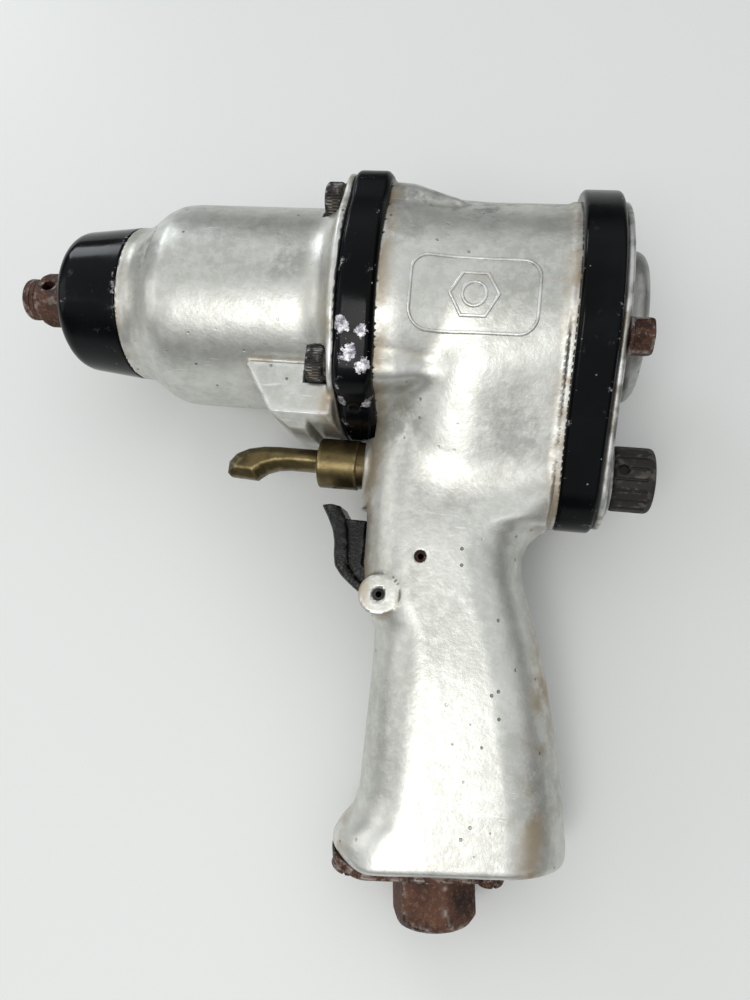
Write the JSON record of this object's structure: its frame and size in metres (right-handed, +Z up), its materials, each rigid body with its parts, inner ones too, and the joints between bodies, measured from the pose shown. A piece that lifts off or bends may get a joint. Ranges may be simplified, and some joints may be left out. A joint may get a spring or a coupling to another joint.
{
  "type": "pistol grip air impact wrench",
  "caption": "Pneumatic impact wrench with a half-inch square drive, pistol grip, trigger, reverse lever, air regulator knob and threaded air inlet.",
  "frame": {"origin": "centre of the end face of the square drive, on the drive axis", "axes": "-X leaves the square drive towards the socket, +X runs back along the drive axis; +Z is up with the tool lying on its right side; the grip points towards -Y and dips towards the surface it lies on"},
  "size_m": [0.187, 0.197, 0.0741],
  "materials": {
    "cast_aluminium": "satin",
    "black_enamel": "gloss",
    "rusted_steel": "rusted",
    "black_oxide_steel": "satin",
    "machined_steel": "machined",
    "aged_brass": "satin",
    "bronze": "machined",
    "knob_plastic": "matte",
    "trigger_plastic": "textured",
    "vane_composite": "matte",
    "seal_rubber": "matte",
    "sintered_screen": "matte"
  },
  "bodies": {
    "tool": {"nose_ring": "black_enamel", "nose_seal": "seal_rubber", "hammer_case": "cast_aluminium", "anvil_bush": "bronze", "front_band": "black_enamel", "front_bolts": "black_oxide_steel", "front_end_plate": "machined_steel", "front_bearing": "machined_steel", "motor_cylinder": "machined_steel", "rear_end_plate": "machined_steel", "rear_bearing": "machined_steel", "clamp_ring": "machined_steel", "motor_housing": "cast_aluminium", "side_badge": "cast_aluminium", "rear_band": "black_enamel", "rear_gasket": "seal_rubber", "rear_cover": "cast_aluminium", "rear_hex_bolts": "rusted_steel", "rear_top_bolt": "black_oxide_steel", "lever_washer": "aged_brass", "trigger_pin": "black_oxide_steel", "throttle_pin": "black_oxide_steel", "throttle_bush": "bronze", "throttle_spring": "machined_steel", "bottom_plate": "rusted_steel", "bottom_screws": "rusted_steel", "inlet_bushing": "rusted_steel", "inlet_screen": "bronze", "exhaust_screen": "sintered_screen"},
    "drive": {"anvil": "rusted_steel", "friction_ring": "machined_steel"},
    "hammer_train": {"rotor": "machined_steel", "rotor_vanes": "vane_composite", "hammer_cage": "machined_steel", "front_hammer": "machined_steel", "rear_hammer": "machined_steel", "hammer_pins": "machined_steel"},
    "regulator": {"regulator_knob": "knob_plastic", "knob_screw": "black_oxide_steel", "regulator_spindle": "machined_steel"},
    "reverse": {"reverse_lever": "aged_brass", "lever_pin": "machined_steel", "reverse_valve": "machined_steel"},
    "trigger_lever": {"trigger": "trigger_plastic"},
    "throttle": {"throttle_valve": "machined_steel"}
  },
  "joints": [
    {"name": "rotor_spin", "type": "hinge", "parent": "tool", "child": "hammer_train", "pos_m": [0.08, 0, 0], "axis": [1, 0, 0], "continuous": true},
    {"name": "anvil_spin", "type": "hinge", "parent": "tool", "child": "drive", "pos_m": [0.04, 0, 0], "axis": [1, 0, 0], "continuous": true},
    {"name": "trigger_pull", "type": "hinge", "parent": "tool", "child": "trigger_lever", "pos_m": [0.1193, -0.07875, -0.01158], "axis": [0, 0.1455, -0.9894], "range_deg": [0, 10], "stiffness_Nm_per_rad": 0.6, "springref_deg": -20.05},
    {"name": "throttle_push", "type": "slide", "parent": "tool", "child": "throttle", "axis": [1, 0, 0], "range_m": [0, 0.0028], "deforming": ["throttle_spring"]},
    {"name": "reverse_swing", "type": "hinge", "parent": "tool", "child": "reverse", "pos_m": [0.105, -0.04373, -0.00643], "axis": [1, 0, 0], "range_deg": [-25, 25]},
    {"name": "regulator_turn", "type": "hinge", "parent": "tool", "child": "regulator", "pos_m": [0.175, -0.04175, -0.00614], "axis": [1, 0, 0], "range_deg": [0, 270]}
  ],
  "couplings": [
    {"joint": "anvil_spin", "follows": "rotor_spin", "ratio": 1},
    {"joint": "throttle_push", "follows": "trigger_pull", "m_per_rad": 0.0151}
  ]
}
